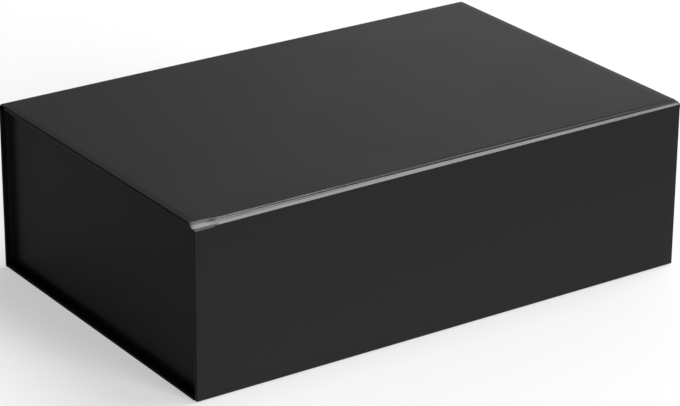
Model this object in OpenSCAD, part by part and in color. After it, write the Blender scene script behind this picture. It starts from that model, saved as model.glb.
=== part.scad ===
/* [Box] */
// Length of the closed box, along its hinge
box_w = 330; // [260:1:420]
// Depth of the closed box, from flap to spine
box_d = 215; // [160:1:320]
// Height of the closed box
box_h = 103; // [70:1:160]
// How far the tray stands back from each end of the cover
end_margin = 4.6; // [3:0.1:9]

/* [Board and paper] */
// Thickness of the greyboard in every panel and wall
board_t = 2; // [1.6:0.1:3]
// Thickness of the black laminated wrapping paper
wrap_t = 0.25; // [0.2:0.05:0.35]
// Thickness of the lining paper in the cover and on the tray floor
lining_t = 0.25; // [0.15:0.05:0.35]
// Thickness of the corner tape, and of the glue line beside it
tape_t = 0.15; // [0.1:0.05:0.25]
// How far the wrapping paper is turned in over the edges
turn_in = 15; // [10:1:25]
// How far the lining stays back from the edges of a panel
lining_margin = 2.5; // [1.5:0.5:6]
// Length of each leg of a corner tape
tape_leg = 12; // [8:1:20]

/* [Paper hinges] */
// Outer radius of the two paper folds that the lid and the flap turn on
fold_r = 3.2; // [3:0.1:6]
// Width of the bare paper between each fold and the board of the lid
hinge_land = 3; // [1:0.1:8]
// Radius of the score line pressed along the middle of each fold
score_r = 0.12; // [0.08:0.01:0.14]

/* [Fits] */
// Gap between the lid and the rim of the tray
rim_gap = 0.3; // [0.2:0.05:1]
// Gap between the flap and the front wall of the tray
flap_gap = 0.3; // [0.2:0.05:1]
// Height of the flap's lower edge over the table
flap_lift = 0.5; // [0.3:0.1:2]

/* [Magnets] */
// Diameter of each disc magnet
magnet_d = 15; // [10:0.5:20]
// Gap between a magnet and its punched hole, all round
magnet_fit = 0.2; // [0.1:0.05:0.4]
// Distance from the end of the box to the centre of a magnet
magnet_inset = 68; // [40:1:110]
// Height of the magnets over the table
magnet_z = 30; // [28:1:45]

/* [Hidden] */
$fn = 96;

wrap_black = [0.035, 0.035, 0.037];
lining_black = [0.05, 0.05, 0.05];
greyboard = [0.42, 0.4, 0.37];
kraft = [0.5, 0.38, 0.25];
nickel = [0.75, 0.75, 0.76];

// A wrapped panel is paper, board and turned-in paper, from outside to
// inside. The spine, the lid and the flap have a lining on top of that.
board_top = wrap_t + board_t;
panel_t = board_top + wrap_t;
lined_t = panel_t + lining_t;

// Runs of the panels, from fold to fold or from fold to edge
spine_run = box_h - fold_r - panel_t;
lid_run = box_d - 2 * (fold_r + hinge_land);
flap_run = box_h - fold_r - flap_lift;

// The tray, outside its own wrapping paper
tray_w = box_w - 2 * end_margin;
tray_front = -box_d / 2 + lined_t + flap_gap;
tray_back = box_d / 2 - lined_t;
tray_mid = (tray_front + tray_back) / 2;
tray_z = panel_t;
tray_rim = box_h - lined_t - rim_gap;

// The tray's boards, inside its paper and the glue line
skin = wrap_t + tape_t;
wall_w = tray_w - 2 * skin;
wall_d = tray_back - tray_front - 2 * skin;
wall_front = tray_front + skin;
wall_back = tray_back - skin;
wall_z = tray_z + wrap_t;
wall_top = tray_rim - wrap_t;
floor_top = wall_z + board_t;

// The hollow of the tray, inside the paper on its walls
hollow_w = wall_w - 2 * (board_t + wrap_t);
hollow_front = wall_front + board_t + wrap_t;
hollow_back = wall_back - board_t - wrap_t;

magnet_x = box_w / 2 - magnet_inset;

// Cuts run this far past the face that they open
cut = 1;

// A block centred on x = 0, from y0 to y1 and from z0 to z1
module block(w, y0, y1, z0, z1) {
    translate([-w / 2, y0, z0]) cube([w, y1 - y0, z1 - z0]);
}

// Carries a profile drawn in y and z along the length of the box
module along_length(w) {
    rotate([90, 0, 90]) linear_extrude(height = w, center = true) children();
}

// The spine, the lid and the flap are drawn lying on their outer face, with
// the run of the cover along +y, and are then turned to their place.
module at_spine() {
    translate([0, box_d / 2, panel_t]) rotate([90, 0, 0]) children();
}

module at_lid() {
    translate([0, lid_run / 2, box_h]) rotate([180, 0, 0]) children();
}

module at_flap() {
    translate([0, -box_d / 2, box_h - fold_r]) rotate([270, 0, 0]) children();
}

// Half of a fold: a flat strip, land wide, and an arc of 45 degrees, which
// go on from a panel's outer face at y = 0. It is t thick and lies depth
// inside the fold's outer face. The score line runs where the two halves of
// the fold meet.
module half_fold(w, land, depth, t) {
    reach = 2 * fold_r;
    along_length(w) {
        if (land > 0) translate([0, depth]) square([land, t]);
        translate([land, 0]) difference() {
            intersection() {
                translate([0, fold_r]) difference() {
                    circle(r = fold_r - depth);
                    circle(r = fold_r - depth - t);
                }
                polygon([[0, fold_r], [0, fold_r - reach], [reach, fold_r - reach]]);
            }
            translate([fold_r * sin(45), fold_r - fold_r * cos(45)]) circle(r = score_r);
        }
    }
}

// The paper in half of a fold. It is double near both ends of the box,
// where the edge of the sheet is turned in.
module wrap_fold(land) {
    half_fold(box_w - 2 * turn_in, land, 0, wrap_t);
    for (side = [-1, 1])
        translate([side * (box_w - turn_in) / 2, 0, 0])
            half_fold(turn_in, land, 0, 2 * wrap_t);
}

// The lining in half of a fold, stuck to the paper between the turned-in ends
module lining_fold(land) {
    half_fold(box_w - 2 * turn_in, land, wrap_t, lining_t);
}

// A panel starts and ends in one of three ways: "fold", where the paper goes
// on into a fold, "butt", where it goes on straight, or "edge", where it is
// turned in over the edge of the board. The land is the flat part of a fold.
function gives_way(kind) = kind != "edge";

// Wrapping paper of one panel
module panel_wrap(run, start, end, land = 0) {
    difference() {
        block(box_w, 0, run, 0, panel_t);
        block(box_w - 2 * wrap_t,
            gives_way(start) ? -cut : wrap_t,
            gives_way(end) ? run + cut : run - wrap_t,
            wrap_t, board_top);
        block(box_w - 2 * turn_in,
            gives_way(start) ? -cut : turn_in,
            gives_way(end) ? run + cut : run - turn_in,
            wrap_t, panel_t + cut);
    }
    if (start == "fold") mirror([0, 1, 0]) wrap_fold(land);
    if (end == "fold") translate([0, run, 0]) wrap_fold(land);
}

// Lining of one panel. It lies on the board, climbs onto the turned-in paper
// near the edges, and goes round the end of the board at a fold.
module panel_lining(run, start, end, land = 0) {
    pan_w = box_w - 2 * turn_in;
    difference() {
        union() {
            block(box_w - 2 * lining_margin,
                gives_way(start) ? 0 : lining_margin,
                gives_way(end) ? run : run - lining_margin,
                panel_t, lined_t);
            block(pan_w,
                gives_way(start) ? 0 : turn_in,
                gives_way(end) ? run : run - turn_in,
                board_top, lined_t);
        }
        block(pan_w - 2 * lining_t,
            gives_way(start) ? -cut : turn_in + lining_t,
            gives_way(end) ? run + cut : run - turn_in - lining_t,
            board_top + lining_t, lined_t + cut);
    }
    if (start == "fold") {
        block(pan_w, 0, lining_t, wrap_t, board_top);
        mirror([0, 1, 0]) lining_fold(land);
    }
    if (end == "fold") {
        block(pan_w, run - lining_t, run, wrap_t, board_top);
        translate([0, run, 0]) lining_fold(land);
    }
}

// Where a panel's board stops, measured in from the end of its run
function board_inset(kind) = kind == "fold" ? lining_t : kind == "butt" ? 0 : wrap_t;

// Board of one panel
module panel_board(run, start, end) {
    block(box_w - 2 * wrap_t, board_inset(start), run - board_inset(end), wrap_t, board_top);
}

// The magnets of one row, or with a gap their holes, through a board that
// starts at y0
module magnet(side, y0, gap = 0) {
    over = gap > 0 ? cut : 0;
    translate([side * magnet_x, y0 - over, magnet_z])
        rotate([-90, 0, 0])
        cylinder(d = magnet_d + 2 * gap, h = board_t + 2 * over);
}

// Bottom panel of the cover, stuck under the tray
module base_board() {
    color(greyboard)
        block(box_w - 2 * wrap_t, tray_front + wrap_t, box_d / 2 - wrap_t, wrap_t, board_top);
}

// Its paper is turned in on three sides, and goes on up the spine at the
// back, where the spine stands on it.
module base_wrap() {
    color(wrap_black) difference() {
        block(box_w, tray_front, box_d / 2, 0, panel_t);
        block(box_w - 2 * wrap_t, tray_front + wrap_t, box_d / 2 - wrap_t, wrap_t, board_top);
        block(box_w - 2 * turn_in, tray_front + turn_in, tray_back, wrap_t, panel_t + cut);
    }
}

// Back panel of the cover, stuck to the back of the tray
module spine_board() {
    color(greyboard) at_spine() panel_board(spine_run, "butt", "fold");
}

module spine_wrap() {
    color(wrap_black) at_spine() panel_wrap(spine_run, "butt", "fold");
}

module spine_lining() {
    color(lining_black) at_spine() panel_lining(spine_run, "butt", "fold");
}

// Top panel of the cover
module lid_board() {
    color(greyboard) at_lid() panel_board(lid_run, "fold", "fold");
}

module lid_wrap() {
    color(wrap_black) at_lid() panel_wrap(lid_run, "fold", "fold", hinge_land);
}

module lid_lining() {
    color(lining_black) at_lid() panel_lining(lid_run, "fold", "fold", hinge_land);
}

// Front panel of the cover, held shut by the magnets
module flap_board() {
    color(greyboard) difference() {
        at_flap() panel_board(flap_run, "fold", "edge");
        for (side = [-1, 1]) magnet(side, -box_d / 2 + wrap_t, magnet_fit);
    }
}

module flap_wrap() {
    color(wrap_black) at_flap() panel_wrap(flap_run, "fold", "edge");
}

module flap_lining() {
    color(lining_black) at_flap() panel_lining(flap_run, "fold", "edge");
}

// Boards of the tray. The floor lies between the walls, and the end walls
// stand between the front and back walls.
module tray_floor_board() {
    color(greyboard)
        block(wall_w - 2 * board_t, wall_front + board_t, wall_back - board_t, wall_z, floor_top);
}

module tray_front_board() {
    color(greyboard) difference() {
        block(wall_w, wall_front, wall_front + board_t, wall_z, wall_top);
        for (side = [-1, 1]) magnet(side, wall_front, magnet_fit);
    }
}

module tray_back_board() {
    color(greyboard) block(wall_w, wall_back - board_t, wall_back, wall_z, wall_top);
}

module tray_end_board(side) {
    color(greyboard) translate([side * (wall_w - board_t) / 2, 0, 0])
        block(board_t, wall_front + board_t, wall_back - board_t, wall_z, wall_top);
}

// Paper of the tray: up the outside of the walls, over the rim, down the
// inside to the floor, and turned in under the floor
module tray_wrap() {
    color(wrap_black) difference() {
        block(tray_w, tray_front, tray_back, tray_z, tray_rim);
        difference() {
            block(tray_w - 2 * wrap_t, tray_front + wrap_t, tray_back - wrap_t, wall_z, wall_top);
            block(hollow_w + 2 * wrap_t, hollow_front - wrap_t, hollow_back + wrap_t,
                floor_top, tray_rim);
        }
        block(hollow_w, hollow_front, hollow_back, wall_z + board_t / 2, tray_rim + cut);
        block(tray_w - 2 * turn_in, tray_front + turn_in, tray_back - turn_in,
            tray_z - cut, wall_z + board_t / 2);
    }
}

module tray_floor_lining() {
    color(lining_black)
        block(hollow_w, hollow_front, hollow_back, floor_top, floor_top + lining_t);
}

// Tape round one outer corner of the tray's boards, under the paper
module corner_tape(side, end) {
    far = tape_leg - tape_t + cut;
    color(kraft)
        translate([0, tray_mid, wall_z])
        mirror([side < 0 ? 1 : 0, 0, 0])
        mirror([0, end < 0 ? 1 : 0, 0])
        translate([wall_w / 2 + tape_t - tape_leg, wall_d / 2 + tape_t - tape_leg, 0])
        difference() {
            cube([tape_leg, tape_leg, wall_top - wall_z]);
            translate([-cut, -cut, -cut]) cube([far, far, wall_top - wall_z + 2 * cut]);
        }
}

// Disc magnets in the flap, and the discs in the tray that they meet
module flap_magnet(side) {
    color(nickel) magnet(side, -box_d / 2 + wrap_t);
}

module tray_magnet(side) {
    color(nickel) magnet(side, wall_front);
}

base_board();
spine_board();
lid_board();
flap_board();
base_wrap();
spine_wrap();
lid_wrap();
flap_wrap();
spine_lining();
lid_lining();
flap_lining();
tray_floor_board();
tray_front_board();
tray_back_board();
tray_end_board(-1);  // tray_left_board
tray_end_board(1);  // tray_right_board
tray_wrap();
tray_floor_lining();
corner_tape(-1, -1);  // corner_tape_front_left
corner_tape(1, -1);  // corner_tape_front_right
corner_tape(-1, 1);  // corner_tape_back_left
corner_tape(1, 1);  // corner_tape_back_right
flap_magnet(-1);  // flap_magnet_left
flap_magnet(1);  // flap_magnet_right
tray_magnet(-1);  // tray_magnet_left
tray_magnet(1);  // tray_magnet_right
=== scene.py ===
import bpy
import numpy as np
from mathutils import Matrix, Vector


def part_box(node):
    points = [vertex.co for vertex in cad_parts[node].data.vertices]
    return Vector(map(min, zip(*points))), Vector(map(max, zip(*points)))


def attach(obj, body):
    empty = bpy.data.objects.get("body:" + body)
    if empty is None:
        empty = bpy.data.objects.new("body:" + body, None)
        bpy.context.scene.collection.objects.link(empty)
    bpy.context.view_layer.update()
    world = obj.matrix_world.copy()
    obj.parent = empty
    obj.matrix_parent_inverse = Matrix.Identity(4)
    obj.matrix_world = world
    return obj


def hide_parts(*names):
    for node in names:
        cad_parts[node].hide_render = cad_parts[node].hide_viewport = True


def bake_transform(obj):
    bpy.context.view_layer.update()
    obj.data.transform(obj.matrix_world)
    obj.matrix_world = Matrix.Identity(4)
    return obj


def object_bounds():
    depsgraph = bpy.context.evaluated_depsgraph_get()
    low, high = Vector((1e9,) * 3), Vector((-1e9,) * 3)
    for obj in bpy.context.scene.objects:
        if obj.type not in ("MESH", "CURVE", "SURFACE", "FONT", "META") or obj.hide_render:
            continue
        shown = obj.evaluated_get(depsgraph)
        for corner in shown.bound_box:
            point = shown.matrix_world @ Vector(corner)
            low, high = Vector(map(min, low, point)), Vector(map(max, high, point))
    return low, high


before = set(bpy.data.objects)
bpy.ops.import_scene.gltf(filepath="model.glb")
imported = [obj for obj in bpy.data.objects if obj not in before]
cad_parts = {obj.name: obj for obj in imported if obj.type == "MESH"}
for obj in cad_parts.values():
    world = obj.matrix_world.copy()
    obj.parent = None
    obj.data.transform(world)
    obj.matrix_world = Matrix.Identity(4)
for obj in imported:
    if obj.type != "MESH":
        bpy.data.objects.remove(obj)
cad_low, cad_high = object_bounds()
mm = 0.001


# ---------------------------------------------------------------- The boards
# Every panel and wall is cut from 2 mm greyboard, which is pressed flat from
# waste paper and speckled with fibres. The boards stay as they were packed and
# only get their material here.

def add(tree, kind, links=(), **settings):
    """One shader node. A setting is a node property, or an input of that name with _ for a space."""
    node = tree.nodes.new(kind)
    for key, value in settings.items():
        socket = key.replace("_", " ")
        if hasattr(node, key):
            setattr(node, key, value)
        else:
            node.inputs[socket].default_value = value
    for socket, source in dict(links).items():
        tree.links.new(source, node.inputs[socket])
    return node


def reckon(tree, operation, *terms):
    """The output of a Math node. A term is a number or another node's output."""
    node = add(tree, "ShaderNodeMath", operation=operation)
    for socket, term in zip(node.inputs, terms):
        if isinstance(term, (int, float)):
            socket.default_value = term
        else:
            tree.links.new(term, socket)
    return node.outputs[0]


def scaled(tree, place, factors):
    """A place with each of its three coordinates multiplied by a factor."""
    node = add(tree, "ShaderNodeVectorMath", operation="MULTIPLY", links={0: place})
    node.inputs[1].default_value = factors
    return node.outputs[0]


def shader_group(name, inputs, outputs):
    """An empty node group with named float sockets, or vector sockets where the value is None."""
    group = bpy.data.node_groups.new(name, "ShaderNodeTree")
    for socket, value in inputs.items():
        kind = "NodeSocketVector" if value is None else "NodeSocketFloat"
        made = group.interface.new_socket(socket, in_out="INPUT", socket_type=kind)
        if value is not None:
            made.default_value = value
    for socket in outputs:
        group.interface.new_socket(socket, in_out="OUTPUT", socket_type="NodeSocketFloat")
    return group, add(group, "NodeGroupInput").outputs, add(group, "NodeGroupOutput")


def fibre_group():
    """Paper fibres: noise drawn out along X, added to even noise, and a mottle on a large scale. Both
    sizes are in millimetres."""
    group, given, result = shader_group(
        "paper_fibres", {"Place": None, "Fibre size": 0.6, "Mottle size": 40.0}, ("Fibres", "Mottle"))
    drawn_out, long_share = 0.22, 0.8
    fibres_per_metre = reckon(group, "DIVIDE", 1 / mm, given["Fibre size"])
    mottles_per_metre = reckon(group, "DIVIDE", 1 / mm, given["Mottle size"])
    drawn = scaled(group, given["Place"], (drawn_out, 1, 1))
    long_fibres = add(group, "ShaderNodeTexNoise", Detail=3,
                      links={"Vector": drawn, "Scale": fibres_per_metre})
    even = add(group, "ShaderNodeTexNoise", Detail=4,
               links={"Vector": given["Place"], "Scale": fibres_per_metre})
    both = reckon(group, "MULTIPLY_ADD", long_fibres.outputs["Fac"], long_share, even.outputs["Fac"])
    mottle = add(group, "ShaderNodeTexNoise", Detail=2,
                 links={"Vector": given["Place"], "Scale": mottles_per_metre})
    group.links.new(both, result.inputs["Fibres"])
    group.links.new(mottle.outputs["Fac"], result.inputs["Mottle"])
    return group


def spread(tree, source, low, high, start=0.3, end=0.7):
    """Maps a value from start..end onto low..high."""
    return add(tree, "ShaderNodeMapRange", From_Min=start, From_Max=end, To_Min=low, To_Max=high,
               links={"Value": source}).outputs["Result"]


def ramp(tree, factor, stops):
    """A colour ramp with (place, linear grey or colour) stops."""
    node = add(tree, "ShaderNodeValToRGB", links={"Fac": factor})
    elements = node.color_ramp.elements
    while len(elements) < len(stops):
        elements.new(0.5)
    for element, (place, colour) in zip(elements, stops):
        element.position = place
        element.color = (*(colour if isinstance(colour, tuple) else (colour,) * 3), 1)
    return node.outputs["Color"]


def bump(tree, height, depth, before=None):
    """A bump of the given depth in metres, on top of an earlier one."""
    node = add(tree, "ShaderNodeBump", Strength=1.0, Distance=depth, links={"Height": height})
    if before is not None:
        tree.links.new(before, node.inputs["Normal"])
    return node.outputs["Normal"]


def finish_of(name, **constants):
    """A material with its Principled shader, whose even values are set on its own sockets."""
    material = bpy.data.materials.new(name)
    material.use_nodes = True
    tree = material.node_tree
    shader = tree.nodes["Principled BSDF"]
    for key, value in constants.items():
        shader.inputs[key.replace("_", " ")].default_value = value
    return material, tree, shader


def place_on_object(tree):
    """Where a point lies in the frame, since every piece's object stands at the origin."""
    return add(tree, "ShaderNodeTexCoord").outputs["Object"]


fibres = fibre_group()


def fibre_node(tree, fibre_size, mottle_size):
    """The paper fibres in a material, with their sizes in millimetres."""
    node = add(tree, "ShaderNodeGroup", node_tree=fibres, links={"Place": place_on_object(tree)})
    node.inputs["Fibre size"].default_value = fibre_size
    node.inputs["Mottle size"].default_value = mottle_size
    return node


def greyboard_finish():
    """Grey pulp with pale fibres and dark flecks."""
    material, tree, shader = finish_of("greyboard")
    pulp = fibre_node(tree, 1.1, 18)
    flecks = add(tree, "ShaderNodeTexVoronoi", Scale=620.0, links={"Vector": place_on_object(tree)})
    colour = ramp(tree, pulp.outputs["Fibres"],
                  [(0.55, (0.18, 0.165, 0.145)), (0.85, (0.30, 0.28, 0.25)), (1.15, (0.40, 0.375, 0.34))])
    fleck = ramp(tree, flecks.outputs["Distance"], [(0.05, 0.45), (0.2, 1.0)])
    flecked = add(tree, "ShaderNodeMix", data_type="RGBA", blend_type="MULTIPLY")
    flecked.inputs["Factor"].default_value = 0.6
    tree.links.new(colour, flecked.inputs["A"])
    tree.links.new(fleck, flecked.inputs["B"])
    tree.links.new(flecked.outputs["Result"], shader.inputs["Base Color"])
    tree.links.new(spread(tree, pulp.outputs["Mottle"], 0.8, 0.92), shader.inputs["Roughness"])
    tree.links.new(bump(tree, pulp.outputs["Fibres"], 0.03 * mm), shader.inputs["Normal"])
    return material


def give(node, material):
    """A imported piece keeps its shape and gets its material."""
    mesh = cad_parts[node].data
    mesh.materials.clear()
    mesh.materials.append(material)


greyboard = greyboard_finish()
for board in ("base_board", "spine_board", "lid_board", "flap_board", "tray_floor_board",
              "tray_front_board", "tray_back_board", "tray_left_board", "tray_right_board"):
    give(board, greyboard)


# -------------------------------------------------------------- The magnets
# Four nickel-plated discs lie in punched holes under the paper, two in the
# flap and two in the front wall of the tray, and hold the flap shut.

def nickel_finish():
    """Bright plating, slightly uneven in colour, with fine tumbling scratches that dull it."""
    material, tree, shader = finish_of("nickel_plating", Metallic=1.0)
    scratches = fibre_node(tree, 0.35, 6)
    colour = ramp(tree, scratches.outputs["Mottle"], [(0.3, (0.62, 0.60, 0.56)), (0.7, (0.74, 0.72, 0.68))])
    dullness = spread(tree, scratches.outputs["Fibres"], 0.18, 0.34, 0.6, 1.2)
    tree.links.new(colour, shader.inputs["Base Color"])
    tree.links.new(dullness, shader.inputs["Roughness"])
    tree.links.new(bump(tree, scratches.outputs["Fibres"], 0.004 * mm), shader.inputs["Normal"])
    return material


nickel = nickel_finish()
for magnet in ("flap_magnet_left", "flap_magnet_right", "tray_magnet_left", "tray_magnet_right"):
    give(magnet, nickel)


# --------------------------------------------------------- The corner tapes
# The four walls of the tray are stood up and joined at each corner by a strip
# of gummed kraft tape, pressed round the corner under the wrapping paper.

def kraft_finish():
    """Brown kraft with long fibres and a slight sheen from the gum."""
    material, tree, shader = finish_of("kraft_tape")
    pulp = fibre_node(tree, 0.8, 12)
    colour = ramp(tree, pulp.outputs["Fibres"], [(0.6, (0.20, 0.125, 0.065)), (1.1, (0.34, 0.225, 0.125))])
    tree.links.new(colour, shader.inputs["Base Color"])
    tree.links.new(spread(tree, pulp.outputs["Mottle"], 0.55, 0.75), shader.inputs["Roughness"])
    tree.links.new(bump(tree, pulp.outputs["Fibres"], 0.02 * mm), shader.inputs["Normal"])
    return material


kraft = kraft_finish()
for corner in ("front_left", "front_right", "back_left", "back_right"):
    give("corner_tape_" + corner, kraft)


# ------------------------------------------------------ The tray's wrapping
# The tray is covered with black paper under a satin film. The sheet starts
# under the floor, goes up the outside, over the rim and down the inside.

box_low, box_high = np.array(cad_low), np.array(cad_high)
box_w, box_h = (box_high - box_low)[[0, 2]]
paper_t = box_high[2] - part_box("lid_board")[1].z
turn_in = 15 * mm
# The third black is painted shade, laid on the left and right edge faces of the cover's boards.
film_black, rubbed_black, pressed_black = 0.019, 0.0247, 0.002
film_gloss = 0.017


def black_film_finish():
    """Black print under a matt film: a faint orange-peel from the glue, finer fibres, and rubbed arrises.
    The marked edge faces of the boards get painted shade, a near-black base colour. Where the sheet is
    stretched over a fold, fine creases run along it and the film shines through."""
    material, tree, shader = finish_of(
        "black_film_paper", Specular_IOR_Level=film_gloss, Coat_Roughness=0.24, Coat_IOR=1.56)
    sheet = fibre_node(tree, 0.5, 55)
    rubbed, stretched, pressed = (add(tree, "ShaderNodeAttribute", attribute_name=mark).outputs["Fac"]
                                  for mark in ("rubbed", "stretched", "pressed"))
    scuffs = reckon(tree, "MULTIPLY", rubbed, sheet.outputs["Fibres"])
    scuffed = ramp(tree, scuffs, [(0.0, film_black), (0.7, film_black), (1.0, rubbed_black)])
    # Painted shade: the marked edge faces are mixed towards the near-black.
    with_painted_shade = add(tree, "ShaderNodeMix", data_type="RGBA", links={"Factor": pressed})
    tree.links.new(scuffed, with_painted_shade.inputs["A"])
    with_painted_shade.inputs["B"].default_value = (pressed_black, pressed_black, pressed_black, 1)
    tree.links.new(with_painted_shade.outputs["Result"], shader.inputs["Base Color"])
    satin = spread(tree, sheet.outputs["Mottle"], 0.29, 0.33)
    rub_dullness = 0.12
    tree.links.new(reckon(tree, "MULTIPLY_ADD", rubbed, rub_dullness, satin), shader.inputs["Roughness"])
    place = place_on_object(tree)
    peel = add(tree, "ShaderNodeTexNoise", Scale=260.0, Detail=2.0, links={"Vector": place})
    peeled = bump(tree, peel.outputs["Fac"], 0.012 * mm)
    creases_per_metre = (45, 1100, 1100)
    creases = add(tree, "ShaderNodeTexNoise", Scale=1.0, Detail=2.0,
                  links={"Vector": scaled(tree, place, creases_per_metre)})
    creased = bump(tree, reckon(tree, "MULTIPLY", stretched, creases.outputs["Fac"]), 0.03 * mm, peeled)
    tree.links.new(bump(tree, sheet.outputs["Fibres"], 0.0022 * mm, creased), shader.inputs["Normal"])
    tree.links.new(stretched, shader.inputs["Coat Weight"])
    return material


def new_piece(name, points, faces, material, **marks):
    """A smooth-shaded mesh from an array of points and an array of four-cornered faces. A mark is a value
    for each point, which the material reads."""
    mesh = bpy.data.meshes.new(name)
    mesh.from_pydata(np.ascontiguousarray(points).tolist(), [], faces.tolist())
    mesh.polygons.foreach_set("use_smooth", np.ones(len(mesh.polygons), bool))
    for mark, values in marks.items():
        mesh.attributes.new(mark, "FLOAT", "POINT").data.foreach_set("value", values.astype(np.float32))
    mesh.set_sharp_from_angle(angle=np.radians(50))
    mesh.materials.append(material)
    mesh.update()
    piece = bpy.data.objects.new(name, mesh)
    bpy.context.scene.collection.objects.link(piece)
    return piece


def grid_faces(rows, columns, close_rows=False, close_columns=False):
    """Faces of a grid of points numbered row by row, joined up at its ends where asked."""
    row = np.arange(rows if close_rows else rows - 1)
    column = np.arange(columns if close_columns else columns - 1)
    row, column = (a.ravel() for a in np.meshgrid(row, column, indexing="ij"))
    next_row, next_column = (row + 1) % rows, (column + 1) % columns
    return np.stack([row * columns + column, next_row * columns + column,
                     next_row * columns + next_column, row * columns + next_column], 1)


def wall_path(side_points, corner_points):
    """A rectangle with round corners, as shares of its half width and depth and the angle at which each
    point faces outwards."""
    along = np.linspace(-1, 1, side_points)
    turn = np.linspace(0, np.pi / 2, corner_points + 2)[1:-1]
    shares, angles = [], []
    for quarter in range(4):
        angle = quarter * np.pi / 2
        out = np.array([np.cos(angle), np.sin(angle)])
        across = np.array([-out[1], out[0]])
        shares.append(out + along[:, None] * across)
        angles.append(np.full(side_points, angle))
        shares.append(np.repeat([out + across], corner_points, 0))
        angles.append(angle + turn)
    return np.round(np.concatenate(shares), 9), np.concatenate(angles)


def rings(profile_in, profile_z, corner_r, half, centre, shares, angles):
    """Carries a profile round the path. A point lies profile_in inside the outer wall, at height
    profile_z, on a rectangle whose corners have radius corner_r."""
    reach = half[None, None, :] - profile_in[:, None, None] - corner_r[:, None, None]
    out = np.stack([np.cos(angles), np.sin(angles)], 1)
    flat = centre + shares[None] * reach + corner_r[:, None, None] * out[None]
    z = np.broadcast_to(profile_z[:, None, None], (*flat.shape[:2], 1))
    return np.concatenate([flat, z], 2)


def arc(centre, radius, start, end, steps):
    """Points on a circle's arc in a profile plane, angles in degrees."""
    angle = np.radians(np.linspace(start, end, steps))
    return np.array(centre) + radius * np.stack([np.cos(angle), np.sin(angle)], 1)


def run_of(start, end, step):
    """Evenly spaced points on a straight stretch of a profile, without its ends."""
    start, end = np.array(start), np.array(end)
    count = max(int(np.linalg.norm(end - start) / step), 1)
    return start + np.linspace(0, 1, count + 1)[1:-1, None] * (end - start)


black_film = black_film_finish()

tray_low, tray_high = (np.array(corner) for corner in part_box("tray_wrap"))
floor_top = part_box("tray_floor_board")[1].z
wall_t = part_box("tray_left_board")[1].x - tray_low[0] + paper_t
foot_r = 0.42 * mm


def tray_profile():
    """The sheet's outer side from its edge under the floor to its edge inside, as (inset, height), and
    the direction in which its thickness lies. It goes over the rim in a half superellipse."""
    base, rim = tray_low[2], tray_high[2]
    half_wall = wall_t / 2
    bend = 0.55 * half_wall
    squareness = 0.42
    under = np.concatenate([[(turn_in, base)], run_of((turn_in, base), (foot_r, base), 3 * mm)])
    foot = arc((foot_r, base + foot_r), foot_r, -90, -180, steps=6)
    outside = run_of((0, base + foot_r), (0, rim - bend), 6 * mm)
    angle = np.radians(np.linspace(180, 0, 15))
    over = np.stack([
        half_wall + half_wall * np.sign(np.cos(angle)) * np.abs(np.cos(angle)) ** squareness,
        rim - bend + bend * np.abs(np.sin(angle)) ** squareness], 1)
    inside = run_of((wall_t, rim - bend), (wall_t, floor_top), 6 * mm)
    points = np.concatenate([under, foot, outside, over, inside, [(wall_t, floor_top)]])
    tangent = np.gradient(points, axis=0)
    tangent /= np.linalg.norm(tangent, axis=1)[:, None]
    return points, np.stack([tangent[:, 1], -tangent[:, 0]], 1)


def tray_wrapping():
    """The profile carried round the tray, then once more a sheet's thickness behind it. Both edges of
    the sheet are closed, and its corners are rounder outside than inside."""
    points, behind = tray_profile()
    shares, angles = wall_path(side_points=33, corner_points=6)
    half = (tray_high - tray_low)[:2] / 2
    centre = (tray_high + tray_low)[:2] / 2
    share_in = np.clip(points[:, 0] / wall_t, 0, 1)
    share_in[points[:, 1] < tray_low[2] + foot_r / 2] = 0
    outer_corner_r, inner_corner_r = 0.75 * mm, 0.4 * mm
    corner_r = outer_corner_r + (inner_corner_r - outer_corner_r) * share_in
    outer = rings(points[:, 0], points[:, 1], corner_r, half, centre, shares, angles)
    back = points + behind * paper_t
    inner = rings(back[:, 0], back[:, 1], corner_r - behind[:, 0] * paper_t, half, centre, shares, angles)
    both = np.concatenate([outer, inner[::-1]])
    faces = grid_faces(len(both), len(shares), close_rows=True, close_columns=True)
    at_rim = 0.7 * np.exp(-((points[:, 1] - tray_high[2]) / (0.7 * mm)) ** 2)
    at_corner = (np.mod(angles, np.pi / 2) > 0.01).astype(float)
    rubbed = np.clip(at_rim[:, None] + at_corner[None], 0, 1)
    rubbed = np.concatenate([rubbed, 0 * rubbed]).ravel()
    return new_piece("tray_wrapping", both.reshape(-1, 3), faces[:, ::-1], black_film, rubbed=rubbed)


tray_paper = tray_wrapping()
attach(tray_paper, "case")
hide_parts("tray_wrap")


# ------------------------------------------------------- The floor's lining
# A sheet of uncoated black paper is laid on the floor of the tray last, and
# hides the edges of the wrapping paper.

def black_lining_finish():
    """Dyed uncoated paper: matt, with fibres that catch the light and slight clouds in the dye."""
    material, tree, shader = finish_of("black_lining_paper", Specular_IOR_Level=0.3)
    sheet = fibre_node(tree, 0.45, 30)
    clouds = reckon(tree, "MULTIPLY", sheet.outputs["Fibres"], sheet.outputs["Mottle"])
    tree.links.new(ramp(tree, clouds, [(0.25, 0.0135), (0.65, 0.0185)]), shader.inputs["Base Color"])
    tree.links.new(spread(tree, sheet.outputs["Fibres"], 0.56, 0.7, 0.6, 1.2), shader.inputs["Roughness"])
    tree.links.new(bump(tree, sheet.outputs["Fibres"], 0.012 * mm), shader.inputs["Normal"])
    return material


def steps_between(low, high, step, extra=()):
    """Evenly spaced places from low to high, with some given ones instead of those that lie near them."""
    count = max(int(round((high - low) / step)), 1)
    extra = [place for place in extra if low < place < high]
    places = np.union1d(np.linspace(low, high, count + 1), extra)
    keep = np.ones(len(places), bool)
    for place in extra:
        near = np.abs(places - place) < step * 0.2
        keep &= ~near | np.isin(places, extra) | (places == low) | (places == high)
    return places[keep]


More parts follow.
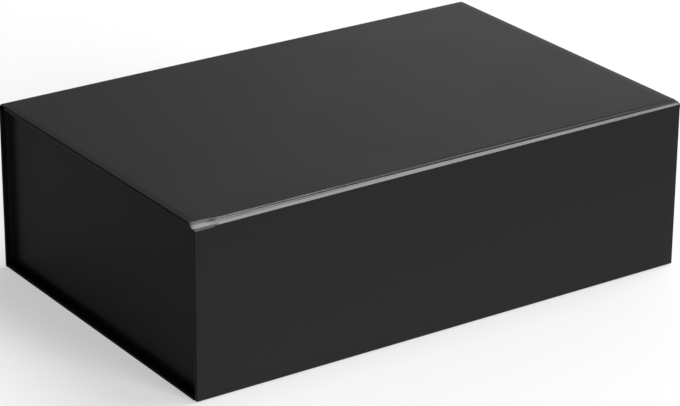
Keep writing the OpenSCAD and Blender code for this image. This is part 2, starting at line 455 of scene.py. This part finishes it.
def sheet_between(xs, ys, top, under):
    """Closed sheet over a grid of places: its top and its underside, joined all round its edge."""
    x, y = np.meshgrid(xs, ys, indexing="ij")
    rows, columns = x.shape
    upper = np.stack([x, y, top(x, y)], 2).reshape(-1, 3)
    lower = np.stack([x, y, under(x, y)], 2).reshape(-1, 3)
    faces = grid_faces(rows, columns)
    return np.concatenate([upper, lower]), close_skin(faces, rows * columns)


def close_skin(faces, count):
    """Adds the far side of a sheet, whose points are numbered count higher, and the faces round its
    edges."""
    edges = np.concatenate([faces[:, [i, (i + 1) % 4]] for i in range(4)])
    key = np.sort(edges, 1) @ np.array([count, 1])
    _, first, seen = np.unique(key, return_index=True, return_counts=True)
    rim = edges[first[seen == 1]]
    sides = np.stack([rim[:, 1], rim[:, 0], rim[:, 0] + count, rim[:, 1] + count], 1)
    return np.concatenate([faces, faces[:, ::-1] + count, sides])


black_lining = black_lining_finish()


def floor_lining():
    """A flat sheet whose edges curl up by a tenth of a millimetre where they meet the walls. The curl dies
    away exponentially with the distance from the edge."""
    low, high = (np.array(corner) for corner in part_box("tray_floor_lining"))
    xs, ys = (steps_between(low[k], high[k], 4 * mm, (low[k] + 1 * mm, high[k] - 1 * mm)) for k in range(2))

    curl_height, curl_width = 0.12 * mm, 0.8 * mm

    def curl(x, y):
        inset = np.minimum.reduce([x - low[0], high[0] - x, y - low[1], high[1] - y])
        return curl_height * np.exp(-inset / curl_width)

    points, faces = sheet_between(xs, ys, lambda x, y: high[2] + curl(x, y), lambda x, y: low[2] + 0 * x)
    return new_piece("floor_lining_sheet", points, faces, black_lining)


floor_sheet = floor_lining()
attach(floor_sheet, "case")
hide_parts("tray_floor_lining")


# ----------------------------------------------------- The cover's wrapping
# One sheet of the same black paper covers the four boards of the cover and is
# turned in over their edges. Each panel's share of it is a shell of its own.

panel_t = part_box("lid_board")[1].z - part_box("lid_board")[0].z + 2 * paper_t
lining_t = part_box("tray_floor_lining")[1].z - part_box("tray_floor_lining")[0].z
pressed_margin, pressed_step, pressed_depth = 2.6 * mm, 0.7 * mm, 0.1 * mm
seam_back = 0.9 * mm
arris = 0.6 * mm
wave_height = 0.05 * mm
cell = 5 * mm
hair = 1e-7

lid_low, lid_high = (np.array(corner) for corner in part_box("lid_board"))
flap_low, flap_high = (np.array(corner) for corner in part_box("flap_board"))
front_y, back_y = box_low[1], box_high[1]
base_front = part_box("base_wrap")[0].y
lid_front, lid_back = lid_low[1] - lining_t, lid_high[1] + lining_t
fold_z = flap_high[2] + lining_t


def eased(share):
    """Goes from 0 to 1 with level ends."""
    share = np.clip(share, 0, 1)
    return share * share * (3 - 2 * share)


def pressed_dip(inset):
    """How far the sheet lies lower near the arris of a board, where a roller pressed the turned-in edge."""
    return pressed_depth * (1 - eased((inset - pressed_margin) / pressed_step + 0.5))


def graded(low, high, step, extra=()):
    """Places from low to high with four close ones over each rounded edge."""
    close = arris * (1 - np.tan(np.pi / 4 * np.linspace(1, 0, 5)))
    middle = steps_between(low + arris, high - arris, step, extra)
    return np.concatenate([low + close[:-1], middle, (high - close[:-1])[::-1]])


def box_quads(size):
    """The cells of a box's six sides, as places in a lattice of the given size, facing outwards."""
    quads = []
    for flat in range(3):
        one, two = (flat + 1) % 3, (flat + 2) % 3
        cells = np.meshgrid(np.arange(size[one] - 1), np.arange(size[two] - 1), indexing="ij")
        i, j = (axis.ravel() for axis in cells)
        for level in (0, size[flat] - 1):
            corners = np.zeros((len(i), 4, 3), int)
            corners[:, :, flat] = level
            corners[:, :, one] = i[:, None] + np.array([0, 1, 1, 0])
            corners[:, :, two] = j[:, None] + np.array([0, 0, 1, 1])
            quads.append(corners if level else corners[:, ::-1])
    return np.concatenate(quads)


def panel_shell(name, run, to_world, start, end, pressed_to, pressed_share):
    """The outer side of a board's wrapping, with the panel's length along a, its run along b and its depth
    along c. A box's surface is cut into a grid, and each point is drawn onto a box with round edges: to
    the nearest point of a core, which lies inside by the rounding, plus the rounding outwards. The middle
    of the inner side is left open. A panel starts and ends at an "edge", where the sheet is turned in, at
    a "fold", where it stops short of the board's end, at a "foot", which is round but open inside, or at a
    "butt", which is cut off square. The sheet waves on the board by a few hundredths of a millimetre, in
    two products of sines, but not under the box. At the left and right ends its edge faces get painted
    shade by the given share, from its arris to the given depth."""
    half = box_w / 2
    insets = (turn_in, *(pressed_margin + pressed_step * np.linspace(-0.5, 0.5, 5)))
    across = [side * (half - inset) for side in (-1, 1) for inset in insets]
    along = [place for inset in (*insets, seam_back) for place in (inset, run - inset)]
    axes = (graded(-half, half, cell, across), graded(0, run, cell, along), graded(0, panel_t, 0.3 * mm))
    size = np.array([len(axis) for axis in axes])
    quads = box_quads(size)
    a, b, c = (axes[k][quads[:, :, k]].mean(1) for k in range(3))
    within = np.abs(a) < half - turn_in
    clear = [turn_in if kind == "edge" else -1 for kind in (start, end)]
    keep = ~((c > panel_t - hair) & within & (b > clear[0]) & (run - b > clear[1]))
    for kind, distance in ((start, b), (end, run - b)):
        if kind == "fold":
            keep &= ~((c < arris / 2) & (distance < seam_back))
            keep &= ~((distance < hair) & within)
        if kind == "butt":
            keep &= ~(distance < hair)
    quads = quads[keep]
    stride = np.array([size[1] * size[2], size[2], 1])
    used, faces = np.unique(quads @ stride, return_inverse=True)
    faces = faces.reshape(-1, 4)
    index = np.stack([used // stride[0], used // stride[1] % size[1], used % size[2]], 1)
    place = np.stack([axes[k][index[:, k]] for k in range(3)], 1)
    core_low = np.array([-half + arris, 0 if start == "butt" else arris, arris])
    core_high = np.array([half - arris, run if end == "butt" else run - arris, panel_t - arris])
    core = np.clip(place, core_low, core_high)
    out = place - core
    out /= np.linalg.norm(out, axis=1)[:, None]
    skin = core + arris * out
    a, b, depth = place.T
    far_off = 1
    inset = np.minimum.reduce([half - np.abs(a), np.where(start == "edge", b, far_off),
                               np.where(end == "edge", run - b, far_off)])
    from_edge = np.minimum.reduce([half - np.abs(a), b, run - b])
    swell = (np.sin(a * 19 + run * 70) * np.sin(b * 23 + 1.3)
             + 0.5 * np.sin(a * 41 + 2.0) * np.sin(b * 37 + run * 90))
    wave = (0 if end == "butt" else wave_height) * eased(from_edge / (20 * mm)) * swell
    shift = (pressed_dip(inset) - wave) * np.clip(1 - skin[:, 2] / arris, 0, 1)
    behind = skin - out * paper_t
    skin[:, 2] += shift
    behind[:, 2] += shift
    matrix, origin = to_world
    closed = close_skin(faces, len(skin))
    points = np.concatenate([skin, behind]) @ matrix.T + origin
    rub = (1 - np.abs(out).max(1)) / (1 - 0.5 ** 0.5)
    rubbed = np.concatenate([np.clip(rub, 0, 1), np.zeros(len(skin))])
    closed = closed[:, ::-1] if np.linalg.det(matrix) < 0 else closed
    fade_in, fade_out = 0.3 * mm, 0.5 * mm
    # Painted shade on the left and right edge faces, from near the arris to the given depth.
    pressed = pressed_share * eased(depth / fade_in) * (1 - eased((depth - pressed_to) / fade_out))
    pressed = np.concatenate([pressed * (np.abs(a) > half - hair), np.zeros(len(skin))])
    return new_piece(name, points, closed, black_film, rubbed=rubbed, pressed=pressed)


on_base = (np.eye(3), np.array([0, base_front, 0]))
on_spine = (np.array([[1, 0, 0], [0, 0, -1], [0, 1, 0]]), np.array([0, back_y, 0]))
on_lid = (np.array([[1, 0, 0], [0, -1, 0], [0, 0, -1]]), np.array([0, lid_back, box_h]))
on_flap = (np.array([[1, 0, 0], [0, 0, 1], [0, -1, 0]]), np.array([0, front_y, fold_z]))
base_run = back_y - panel_t - base_front
spine_run = fold_z
lid_run = lid_back - lid_front
flap_run = fold_z - flap_low[2] + paper_t

# The last two columns give the depth and strength of the painted shade on each panel's left and right edge
# faces.
for body, panel_name, run, to_world, start, end, pressed_to, pressed_share in (
        ("case", "base", base_run, on_base, "edge", "butt", panel_t, 1),
        ("case", "spine", spine_run, on_spine, "foot", "fold", panel_t, 1),
        ("lid", "lid", lid_run, on_lid, "fold", "fold", 1.1 * mm, 1),
        ("flap", "flap", flap_run, on_flap, "fold", "edge", 0.6 * mm, 0.35)):
    panel = panel_shell(panel_name + "_wrapping", run, to_world, start, end, pressed_to, pressed_share)
    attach(panel, body)
    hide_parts(panel_name + "_wrap")


# --------------------------------------------------------- The paper hinges
# Between two boards the cover is bare paper, which bends over the gap. It
# leaves the lid's board over a small ridge, and is double near both ends.

fold_reach = lid_front - front_y
fold_drop = box_h - fold_z
end_sink, end_flare = 0.12 * mm, 0.8 * mm


def doubled(x):
    """1 where the sheet's turned-in edge makes the paper double, 0 in the middle of the box."""
    return eased((np.abs(x) - (box_w / 2 - turn_in)) / (0.5 * mm) + 0.5)


def smoothed(profiles, times):
    """Cuts the corners of each profile, at a quarter and three quarters of every stretch."""
    for _ in range(times):
        a, b = profiles[:, :-1], profiles[:, 1:]
        cut = np.stack([0.75 * a + 0.25 * b, 0.25 * a + 0.75 * b], 2).reshape(len(profiles), -1, 2)
        profiles = np.concatenate([profiles[:, :1], cut, profiles[:, -1:]], 1)
    return profiles


def fold_profiles(x, slack, end_slack, sink):
    """The outer side of a paper hinge for each x, as (reach, depth) in metres from the end of the lid's
    board. The sheet leaves the board, steps down over a ridge, sags, and bends down in one slanting facet,
    which is bigger towards the left, by slack, and creased there; sink says how far it sags. Near the left
    and right ends of the box the sheet is double and hangs in one slack bend across the whole gap, by the
    shares in end_slack. All of it is a polygon, with corners in millimetres, which are cut three times.
    The strip then laps onto both boards, and its very ends sink a little on the bend."""
    wobble = (np.sin(x * 61 + 0.4) + 0.6 * np.sin(x * 143 + 1.9) + 0.4 * np.sin(x * 311)) / 2
    leftness = slack * (0.5 - x / box_w)
    reach, drop = fold_reach / mm, fold_drop / mm
    ridge = (0.36 + 0.15 * leftness + 0.04 * wobble) * sink
    sag = (0.65 - 0.20 * leftness) * sink
    deep = 1.74 + 0.45 * leftness + 0.55 * leftness ** 4 + 0.06 * wobble
    start = reach - 0.1 - (deep - sag) / (0.92 - 0.12 * leftness + 0.03 * wobble)
    dent = 0.16 * np.clip(2.5 * leftness - 1.3, 0, 1)

    def on_facet(share, inwards=0.0):
        return start + (reach - 0.1 - start) * share, sag + (deep - sag) * share + inwards

    taut = [(0, 0), (1.4, 0.4 * ridge * (1 - leftness)), (1.9, 0.5 * ridge * (1 - leftness)),
            (2.8, 0.95 * ridge), (3.0, ridge), (start - 0.25, sag),
            on_facet(0), on_facet(0.12), on_facet(0.42, dent), on_facet(0.54), on_facet(0.9), on_facet(1),
            (reach, deep + 0.25), (reach, drop)]
    loose = [(0, 0), (0.55, 0), (0.7, 0.03), (1.0, 0.17), (2.2, 0.68), (3.0, 1.04), (3.6, 1.36),
             (4.3, 1.74), (4.7, 1.97), (4.9, 2.1), (5.2, 2.33), (5.95, 3.05), (reach, 3.15), (reach, drop)]
    stiff = eased((np.abs(x) - (box_w / 2 - turn_in - 1.5 * mm)) / (8 * mm)) * np.where(x < 0, *end_slack)
    corners = [np.stack([(1 - stiff) * one[k] + stiff * other[k] + 0 * x for k in range(2)], 1)
               for one, other in zip(taut, loose)]
    profiles = smoothed(np.stack(corners, 1) * mm, times=3)
    along, down = profiles[:, :, 0], profiles[:, :, 1]
    on_bend = eased(along / (1 * mm)) * (1 - eased((down - fold_drop) / (1 * mm) + 1))
    at_end = np.abs(x)[:, None] > box_w / 2 - hair
    down = down + end_sink * at_end * on_bend
    lap = np.linspace(0, seam_back, 4)[None, 1:] * np.ones((len(x), 1))
    along = np.concatenate([-lap[:, ::-1], along, fold_reach + 0 * lap], 1)
    down = np.concatenate([0 * lap, down, fold_drop + lap], 1)
    return np.stack([along, down], 2)


def inward(profiles):
    """Unit vectors across each profile, towards the inside of the fold."""
    along = np.gradient(profiles, axis=1)
    along /= np.linalg.norm(along, axis=2)[:, :, None]
    return np.stack([-along[:, :, 1], along[:, :, 0]], 2)


def hinge_places(half):
    """Places along the box, close together where the paper turns double."""
    fine = np.linspace(-4, 4, 17) * 0.5 * mm
    extra = [side * (box_w / 2 - turn_in) + step for side in (-1, 1) for step in fine]
    return steps_between(-half, half, 2 * mm, extra)


def hinge_paper_rows(fold):
    """Rows of (reach, depth) and their x: the outer side of the sheet, half a round at the right end,
    the inner side back to the left, and half a round at the left end."""
    half = box_w / 2
    x = hinge_places(half)
    outer = fold_profiles(x, **fold)
    thick = paper_t * (1 + doubled(x))
    inner = outer + inward(outer) * thick[:, None, None]
    outer[:, :, 1] += pressed_dip(half - np.abs(x))[:, None] * (outer[:, :, 0] < 0)
    turn = np.linspace(0, np.pi, 7)[1:-1]
    middle = (outer + inner) / 2
    x[[0, -1]] -= np.sign(x[[0, -1]]) * thick[[0, -1]] / 2

    def end(row):
        out = np.cos(turn)[:, None, None] * (outer[row] - middle[row])[None] + middle[row][None]
        return out, np.sin(turn) * thick[row] / 2

    right_rows, right_x = end(-1)
    left_rows, left_x = end(0)
    rows = np.concatenate([outer, right_rows, inner[::-1], left_rows[::-1]])
    return rows, np.concatenate([x, x[-1] + right_x, x[::-1], x[0] - left_x[::-1]])


def place_hinge(name, at_back, end_slack, rows, xs, material, **marks):
    """Turns rows of (reach, depth) at their x into a closed strip of the front or the back hinge. Where an
    end hangs slack, it flares outwards in half a sine over the gap."""
    side, board_end = (1, lid_back) if at_back else (-1, lid_front)
    count, columns = rows.shape[:2]
    near_end = (eased((np.abs(xs) - box_w / 2) / (3 * mm) + 1) * np.where(xs < 0, *end_slack))[:, None]
    flare = end_flare * near_end * np.sin(np.pi * np.clip(rows[:, :, 0] / fold_reach, 0, 1))
    points = np.stack([xs[:, None] + np.sign(xs[:, None]) * flare,
                       board_end + side * rows[:, :, 0], box_h - rows[:, :, 1]], 2)
    faces = [grid_faces(count, columns, close_rows=True)]
    for column in (0, columns - 1):
        ring = np.arange(count) * columns + column
        near, far = ring[:count // 2], ring[::-1][:count // 2]
        cap = np.stack([near[:-1], near[1:], far[1:], far[:-1]], 1)
        faces.append(cap if column == 0 else cap[:, ::-1])
    faces = np.concatenate(faces)
    return new_piece(name, points.reshape(-1, 3), faces if at_back else faces[:, ::-1], material, **marks)


def hang(strip):
    """Bakes the strip's placement into its points, so that its object stands at the origin."""
    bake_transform(strip)


def stretch_of(rows, xs):
    """How far the film is stretched: fully where the sheet slants, not where it is level or upright, and
    half as far low on the fold where the sheet is double."""
    steepness = np.abs(inward(rows)[:, :, 0])
    slanting = eased((steepness - 0.12) / 0.2) * (1 - eased((steepness - 0.78) / 0.12))
    return slanting * (1 - 0.5 * doubled(xs)[:, None] * eased((rows[:, :, 1] - 1.9 * mm) / (0.5 * mm)))


front_fold = dict(slack=1.0, end_slack=(1.0, 0.0), sink=1.0)
back_fold = dict(slack=0.5, end_slack=(0.0, 0.0), sink=0.2)
for strip_name, at_back, fold, joint, first, second, nodes in (
        ("hinge_paper_front", False, front_fold, "flap_hinge", "lid", "flap", ("lid_wrap", "flap_wrap")),
        ("hinge_paper_back", True, back_fold, "lid_hinge", "case", "lid", ("spine_wrap", "lid_wrap"))):
    rows, xs = hinge_paper_rows(fold)
    strip = place_hinge(strip_name, at_back, fold["end_slack"], rows, xs, black_film,
                        stretched=stretch_of(rows, xs).ravel())
    hang(strip)
    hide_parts(*nodes)


# ------------------------------------------------------ The cover's linings
# Black uncoated paper is glued inside the cover. It lies on the boards, climbs
# onto the turned-in edges of the wrapping, and runs through both hinges.

lining_margin = 2.5 * mm
lining_seam = 1.5 * mm
step_width = 0.5 * mm
lined_t = panel_t + lining_t
magnet_r, magnet_relief, magnet_slope = 7.5 * mm, 0.04 * mm, 1.6 * mm


def climbs(inset):
    """1 where the lining lies on the turned-in paper, 0 where it lies on the board."""
    return 1 - eased((inset - turn_in) / step_width + 0.5)


def panel_lining(name, run, to_world, start, end, magnets=()):
    """A sheet over the inner side of a panel. It stands a paper's thickness higher within the turn-in of
    each edge, and a flat disc a few hundredths high shows where a magnet lies in the board."""
    half = box_w / 2
    step = 1.5 * mm if magnets else cell
    near = [turn_in + step_width * share for share in (-0.6, -0.3, 0, 0.3, 0.6)]
    a_axis = steps_between(-half + lining_margin, half - lining_margin, step,
                           [side * (half - inset) for side in (-1, 1) for inset in near])
    margin = {"edge": lining_margin, "fold": lining_seam, "butt": 0}
    b_axis = steps_between(margin[start], run - margin[end], step,
                           [place for inset in near for place in (inset, run - inset)])

    def top(a, b):
        inset = half - np.abs(a)
        if start == "edge":
            inset = np.minimum(inset, b)
        if end == "edge":
            inset = np.minimum(inset, run - b)
        height = lined_t - paper_t * (1 - climbs(inset))
        for centre_a, centre_b in magnets:
            away = np.hypot(a - centre_a, b - centre_b)
            height = height + magnet_relief * (1 - eased((away - magnet_r) / magnet_slope + 0.5))
        return height

    points, faces = sheet_between(a_axis, b_axis, top, lambda a, b: top(a, b) - lining_t)
    matrix, origin = to_world
    flips = np.linalg.det(matrix) < 0
    return new_piece(name, points @ matrix.T + origin, faces[:, ::-1] if flips else faces, black_lining)


flap_magnets = [np.array(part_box("flap_magnet_" + side)).mean(0) for side in ("left", "right")]
magnets_on_flap = [(centre[0], fold_z - centre[2]) for centre in flap_magnets]
foot_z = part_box("spine_board")[0].z
on_spine_lining = (on_spine[0], np.array([0, back_y, foot_z]))
for body, panel_name, run, to_world, start, end, magnets in (
        ("case", "spine", spine_run - foot_z, on_spine_lining, "butt", "fold", ()),
        ("lid", "lid", lid_run, on_lid, "fold", "fold", ()),
        ("flap", "flap", flap_run, on_flap, "fold", "edge", magnets_on_flap)):
    sheet = panel_lining(panel_name + "_lining_sheet", run, to_world, start, end, magnets)
    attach(sheet, body)
    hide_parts(panel_name + "_lining")


def hinge_lining_profiles(x, fold):
    """The lining's visible side in a hinge: along the lid's inner side, up the end of its board, under
    every fourth point of the hinge paper, and down round the end of the next board. It is a polygon whose
    corners are cut twice."""
    paper = fold_profiles(x, **fold)
    glue = 0.02 * mm
    behind = paper + inward(paper) * (paper_t * (1 + doubled(x)) + lining_t + glue)[:, None, None]
    height = lined_t - paper_t * (1 - climbs(box_w / 2 - np.abs(x)))
    under_paper = behind[:, 6:-6:4]
    bend = 0.5 * mm
    apart = 0.01 * mm * np.arange(under_paper.shape[1])
    along = np.clip(under_paper[:, :, 0], 0.45 * mm, fold_reach - paper_t - lining_t)
    under_paper = np.stack([along, np.clip(under_paper[:, :, 1], 0, fold_drop - bend) + apart], 2)
    far = fold_reach - height

    def point(reach, depth):
        return np.stack([reach + 0 * x, depth + 0 * x], 1)[:, None]

    up = [point(-lining_seam, height), point(-bend, height), point(0, height), point(0, height - bend),
          point(0, 1.3 * mm)]
    down = [point(fold_reach - 1.2 * mm, fold_drop), point(far + bend, fold_drop), point(far, fold_drop),
            point(far, fold_drop + bend), point(far, fold_drop + lining_seam)]
    return smoothed(np.concatenate([*up, under_paper, *down], 1), times=2)


for strip_name, at_back, fold, joint, first, second, nodes in (
        ("hinge_lining_front", False, front_fold, "flap_hinge", "lid", "flap",
         ("lid_lining", "flap_lining")),
        ("hinge_lining_back", True, back_fold, "lid_hinge", "case", "lid",
         ("spine_lining", "lid_lining"))):
    x = hinge_places(box_w / 2 - lining_margin)
    seen = hinge_lining_profiles(x, fold)
    rows = np.concatenate([seen - inward(seen) * lining_t, seen[::-1]])
    xs = np.concatenate([x, x[::-1]])
    strip = place_hinge(strip_name, at_back, fold["end_slack"], rows, xs, black_lining)
    hang(strip)
    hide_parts(*nodes)


# ------------------------------------------------------ The floor and lamps
# The box stands on a white table in soft light from the upper right. The room
# to its left is dark, which draws dark lines along its left arrises.

def white_table():
    """A flat disc of rings far wider than the box. Where it is seen, also in a reflection, it is white and
    half of its shadow is lifted by a glow. For the light that it throws back, its colour is painted light:
    bright near the box and dim further off."""
    radius = np.concatenate([[0.05], np.linspace(0.1, 9, 40)])
    angle = np.linspace(0, 2 * np.pi, 97)[:-1]
    ring = radius[:, None, None] * np.stack([np.cos(angle), np.sin(angle), 0 * angle], 1)
    material, tree, shader = finish_of("white_table", Specular_IOR_Level=0.2)
    tone = fibre_node(tree, 8, 400)
    white = ramp(tree, tone.outputs["Mottle"], [(0.3, 0.94), (0.7, 0.96)])
    rays = add(tree, "ShaderNodeLightPath").outputs
    mirrored = reckon(tree, "MAXIMUM", rays["Is Glossy Ray"], rays["Is Transmission Ray"])
    seen = reckon(tree, "MAXIMUM", rays["Is Camera Ray"], mirrored)
    away = add(tree, "ShaderNodeVectorMath", operation="LENGTH", links={0: place_on_object(tree)})
    # Painted light: for bounced light the table is bright near the box and dim further off.
    painted_bounce = ramp(tree, away.outputs["Value"], [(0.2, 1.0), (0.45, 0.2)])
    soft = add(tree, "ShaderNodeMix", data_type="RGBA", links={"Factor": seen})
    tree.links.new(painted_bounce, soft.inputs["A"])
    tree.links.new(white, soft.inputs["B"])
    tree.links.new(soft.outputs["Result"], shader.inputs["Base Color"])
    tree.links.new(spread(tree, tone.outputs["Fibres"], 0.7, 0.8), shader.inputs["Roughness"])
    glow = add(tree, "ShaderNodeEmission", Strength=1.0)
    lifted_share = 0.5
    both = add(tree, "ShaderNodeMixShader", links={0: reckon(tree, "MULTIPLY", seen, lifted_share)})
    tree.links.new(shader.outputs[0], both.inputs[1])
    tree.links.new(glow.outputs[0], both.inputs[2])
    tree.links.new(both.outputs[0], tree.nodes["Material Output"].inputs["Surface"])
    points = np.concatenate([ring.reshape(-1, 3), [(0, 0, 0)]])
    faces = grid_faces(len(radius), len(angle), close_columns=True)
    mesh = bpy.data.meshes.new("white_table")
    turn = np.arange(len(angle))
    hub = np.stack([np.full(len(angle), len(points) - 1), turn, np.roll(turn, -1)], 1)
    mesh.from_pydata(points.tolist(), [], faces.tolist() + hub.tolist())
    mesh.materials.append(material)
    table = bpy.data.objects.new("white_table", mesh)
    bpy.context.scene.collection.objects.link(table)


def sun(name, towards, strength, angle):
    """A far soft lamp in the given direction from the box."""
    lamp = bpy.data.lights.new(name, "SUN")
    lamp.energy = strength
    lamp.angle = np.radians(angle)
    made = bpy.data.objects.new(name, lamp)
    direction = Vector(towards)
    made.rotation_mode = "QUATERNION"
    made.rotation_quaternion = direction.to_track_quat("Z", "Y")
    bpy.context.scene.collection.objects.link(made)


white_table()
sun("key_lamp", (0.518, -0.08, 0.85), strength=1.9, angle=36)
sun("back_lamp", (0.383, 0.821, 0.423), strength=0.385, angle=70)
sun("front_lamp", (0.26, -0.915, 0.31), strength=2.8, angle=24)
sun("side_lamp", (0.786, 0.491, 0.375), strength=0.68, angle=50)
world = bpy.data.worlds.new("studio")
world.use_nodes = True
dark_left, light_right = 0.015, 0.25
towards = add(world.node_tree, "ShaderNodeTexCoord").outputs["Generated"]
sideways = add(world.node_tree, "ShaderNodeSeparateXYZ", links={0: towards}).outputs["X"]
shade = spread(world.node_tree, sideways, dark_left, light_right, start=-0.6, end=0.5)
world.node_tree.links.new(shade, world.node_tree.nodes["Background"].inputs["Color"])
bpy.context.scene.world = world
bpy.context.scene.view_settings.view_transform = "Standard"


# --------------------------------------------------------------- The camera
# It looks down on the front left corner of the box through a long lens.

azimuth, elevation, roll = np.radians([-34.387, 22.916, 0.370])
camera_place = Vector((-0.89099, -1.30209, 0.70680))
focal_pixels, image_pixels = 2925, 680
sensor = 36
flat = np.cos(elevation)
back = Vector((np.sin(azimuth) * flat, -np.cos(azimuth) * flat, np.sin(elevation)))
level = Vector((np.cos(azimuth), np.sin(azimuth), 0))
up = back.cross(level)
right = np.cos(roll) * level + np.sin(roll) * up
camera_data = bpy.data.cameras.new("photo_camera")
camera_data.sensor_width = sensor
camera_data.lens = focal_pixels * sensor / image_pixels
camera_data.clip_start, camera_data.clip_end = 0.05, 50
camera = bpy.data.objects.new("photo_camera", camera_data)
axes = Matrix((right, back.cross(right), back)).transposed().to_4x4()
camera.matrix_world = Matrix.Translation(camera_place) @ axes
bpy.context.scene.collection.objects.link(camera)
bpy.context.scene.camera = camera
